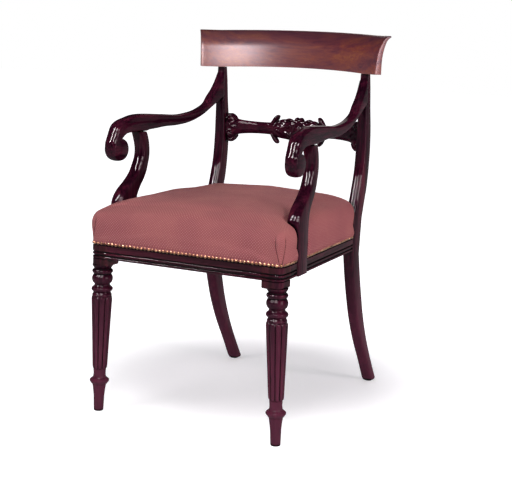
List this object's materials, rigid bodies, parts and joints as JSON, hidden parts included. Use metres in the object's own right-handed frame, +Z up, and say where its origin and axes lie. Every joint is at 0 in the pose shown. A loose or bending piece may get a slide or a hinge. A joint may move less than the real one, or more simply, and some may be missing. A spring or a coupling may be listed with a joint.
{
  "type": "klismos armchair",
  "caption": "Open armchair of klismos form: curved tablet top rail, carved mid rail, sabre back legs, scroll arms, turned reeded front legs and a stuffed-over nailed seat.",
  "frame": {"origin": "bottom centre of the whole chair, on the floor, in the plane of symmetry", "axes": "+Z up, -Y towards the sitter's knees at the front, +X to the right as seen from in front"},
  "size_m": [0.5216, 0.6328, 0.877],
  "materials": {
    "mahogany": "dark, french polished",
    "figured_mahogany": "figured, french polished",
    "beech": "raw",
    "rose_cloth": "woven, small diamond pattern",
    "jute_webbing": "woven",
    "hessian_cloth": "open weave",
    "horsehair": "stuffing under wadding",
    "black_cotton": "plain weave",
    "brass": "polished",
    "steel": "bright"
  },
  "bodies": {
    "root": {"arm_dowel_left": "beech", "arm_dowel_right": "beech", "arm_left": "mahogany", "arm_right": "mahogany", "arm_screw_left": "steel", "arm_screw_plug_left": "mahogany", "arm_screw_plug_right": "mahogany", "arm_screw_right": "steel", "arm_support_left": "mahogany", "arm_support_right": "mahogany", "arm_support_screw_lower_left": "steel", "arm_support_screw_lower_right": "steel", "arm_support_screw_upper_left": "steel", "arm_support_screw_upper_right": "steel", "back_block_screw_back_rail_left": "steel", "back_block_screw_back_rail_right": "steel", "back_block_screw_side_rail_left": "steel", "back_block_screw_side_rail_right": "steel", "back_leg_left": "mahogany", "back_leg_right": "mahogany", "back_rail": "mahogany", "corner_block_back_left": "beech", "corner_block_back_right": "beech", "corner_block_front_left": "beech", "corner_block_front_right": "beech", "dust_cover": "black_cotton", "front_block_screw_front_rail_left": "steel", "front_block_screw_front_rail_right": "steel", "front_block_screw_side_rail_left": "steel", "front_block_screw_side_rail_right": "steel", "front_leg_left": "mahogany", "front_leg_right": "mahogany", "front_rail": "mahogany", "hessian": "hessian_cloth", "mid_rail": "mahogany", "nail_row_back": "brass", "nail_row_front": "brass", "nail_row_left": "brass", "nail_row_right": "brass", "seat_cover": "rose_cloth", "seat_stuffing": "horsehair", "side_rail_left": "mahogany", "side_rail_right": "mahogany", "top_rail": "figured_mahogany", "webbing_crosswise_1": "jute_webbing", "webbing_crosswise_2": "jute_webbing", "webbing_crosswise_3": "jute_webbing", "webbing_crosswise_4": "jute_webbing", "webbing_lengthwise_1": "jute_webbing", "webbing_lengthwise_2": "jute_webbing", "webbing_lengthwise_3": "jute_webbing", "webbing_lengthwise_4": "jute_webbing"}
  },
  "joints": []
}
